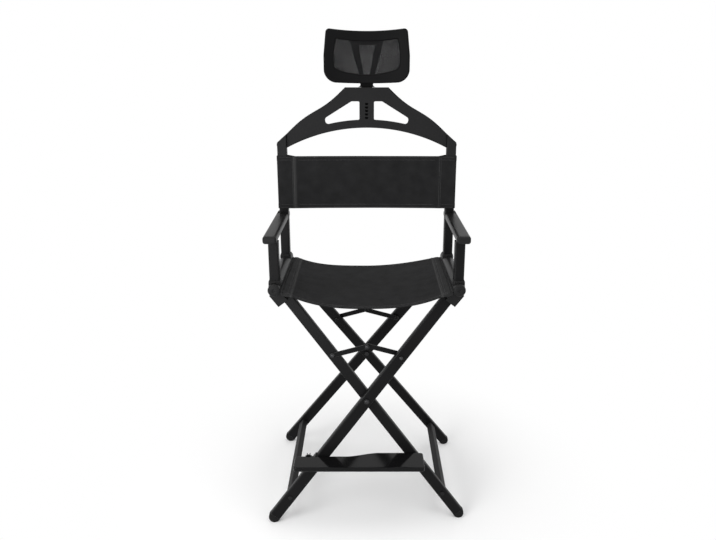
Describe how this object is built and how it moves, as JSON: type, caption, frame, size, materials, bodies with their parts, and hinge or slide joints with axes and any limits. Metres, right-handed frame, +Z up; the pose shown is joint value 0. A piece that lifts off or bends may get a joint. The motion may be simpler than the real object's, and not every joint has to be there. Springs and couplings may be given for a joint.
{
  "type": "folding makeup chair",
  "caption": "Tall folding makeup chair with crossed legs, canvas seat and back, armrests, a swing-up footrest and a sliding, tilting headrest on a hanger bracket.",
  "frame": {"origin": "on the floor, under the middle of the outer box of the open chair", "axes": "+Z up; the chair faces -Y; +X is to the right of a person who stands in front and looks at the chair"},
  "size_m": [0.6018, 0.5316, 1.4525],
  "materials": {
    "frame": "black satin coating on aluminium",
    "fittings": "fine-grained black moulding",
    "hardware": "black coated steel",
    "canvas": "black woven canvas",
    "mesh": "black stretched mesh",
    "gloss": "glossy black"
  },
  "bodies": {
    "frame_b": {"leg_b_front": "frame", "leg_b_rear": "frame", "lower_rail_b": "frame", "top_rail_b": "frame", "foot_b_front": "fittings", "foot_b_rear": "fittings", "end_block_b_front": "fittings", "end_block_b_rear": "fittings", "hinge_clip_b_front": "frame", "hinge_clip_b_rear": "frame", "pivot_rivet_front": "hardware", "pivot_rivet_rear": "hardware", "footrest_bracket": "frame", "footrest_pin": "hardware"},
    "frame_a": {"leg_a_front": "frame", "leg_a_rear": "frame", "lower_rail_a": "frame", "top_rail_a": "frame", "foot_a_front": "fittings", "foot_a_rear": "fittings", "end_block_a_front": "fittings", "end_block_a_rear": "fittings", "hinge_clip_a_front": "frame", "hinge_clip_a_rear": "frame", "footrest_peg": "fittings"},
    "right_side": {"seat_tube_right": "frame", "tube_plug_right": "fittings", "canvas_rod_right": "hardware", "front_post_right": "frame", "rear_post_right": "frame", "front_saddle_right": "fittings", "rear_saddle_right": "fittings", "armrest_right": "frame", "arm_cap_right": "fittings", "seat_canvas": "canvas", "back_canvas": "canvas"},
    "left_side": {"seat_tube_left": "frame", "tube_plug_left": "fittings", "canvas_rod_left": "hardware", "front_post_left": "frame", "rear_post_left": "frame", "front_saddle_left": "fittings", "rear_saddle_left": "fittings", "armrest_left": "frame", "arm_cap_left": "fittings"},
    "front_left_link": {"link_front_left": "hardware"},
    "front_right_link": {"link_front_right": "hardware"},
    "rear_left_link": {"link_rear_left": "hardware"},
    "rear_right_link": {"link_rear_right": "hardware"},
    "head_bracket": {"hanger_plate": "fittings", "hanger_upright_right": "frame", "hanger_upright_left": "frame", "stem_guide": "fittings"},
    "headrest_slider": {"headrest_stem": "fittings"},
    "headrest": {"headrest_rim": "fittings", "headrest_mesh": "mesh", "headrest_fork": "fittings", "tilt_pin": "hardware"},
    "footrest": {"footrest_plate": "gloss"}
  },
  "joints": [
    {"name": "fold", "type": "hinge", "parent": "frame_b", "child": "frame_a", "pos_m": [0.00019, 0.01978, 0.388], "axis": [0, 1, 0], "range_deg": [0, 58.8], "deforming": ["seat_canvas", "back_canvas"]},
    {"name": "right_side_turn", "type": "hinge", "parent": "frame_b", "child": "right_side", "pos_m": [0.265, 0.01978, 0.73436], "axis": [0, 1, 0], "range_deg": [0, 29.5]},
    {"name": "left_side_turn", "type": "hinge", "parent": "frame_a", "child": "left_side", "pos_m": [-0.26463, 0.01978, 0.73436], "axis": [0, 1, 0], "range_deg": [-29.5, 0]},
    {"name": "front_left_link_turn", "type": "hinge", "parent": "frame_a", "child": "front_left_link", "pos_m": [-0.10185, -0.14, 0.52146], "axis": [0, 1, 0], "range_deg": [-91.5, 0]},
    {"name": "front_right_link_turn", "type": "hinge", "parent": "frame_b", "child": "front_right_link", "pos_m": [0.10223, -0.14, 0.52146], "axis": [0, 1, 0], "range_deg": [0, 91.5]},
    {"name": "rear_left_link_turn", "type": "hinge", "parent": "frame_a", "child": "rear_left_link", "pos_m": [-0.10185, 0.18, 0.52146], "axis": [0, 1, 0], "range_deg": [-91.5, 0]},
    {"name": "rear_right_link_turn", "type": "hinge", "parent": "frame_b", "child": "rear_right_link", "pos_m": [0.10223, 0.18, 0.52146], "axis": [0, 1, 0], "range_deg": [0, 91.5]},
    {"name": "footrest_swing", "type": "hinge", "parent": "frame_b", "child": "footrest", "pos_m": [-0.17581, -0.23, 0.211], "axis": [0, -1, 0], "range_deg": [0, 52]},
    {"name": "head_bracket_lift", "type": "slide", "parent": "right_side", "child": "head_bracket", "axis": [0, 0, 1], "range_m": [0, 0.1]},
    {"name": "headrest_height", "type": "slide", "parent": "head_bracket", "child": "headrest_slider", "axis": [0, 0, 1], "range_m": [0, 0.0416]},
    {"name": "headrest_tilt", "type": "hinge", "parent": "headrest_slider", "child": "headrest", "pos_m": [0.00019, 0.16018, 1.31396], "axis": [1, 0, 0], "range_deg": [-25, 20]}
  ],
  "couplings": [
    {"joint": "right_side_turn", "follows": "fold", "ratio": 0.5},
    {"joint": "left_side_turn", "follows": "fold", "ratio": -0.5},
    {"joint": "front_left_link_turn", "follows": "fold", "ratio": -1.5526},
    {"joint": "rear_left_link_turn", "follows": "fold", "ratio": -1.5526},
    {"joint": "front_right_link_turn", "follows": "fold", "ratio": 1.5526},
    {"joint": "rear_right_link_turn", "follows": "fold", "ratio": 1.5526}
  ]
}
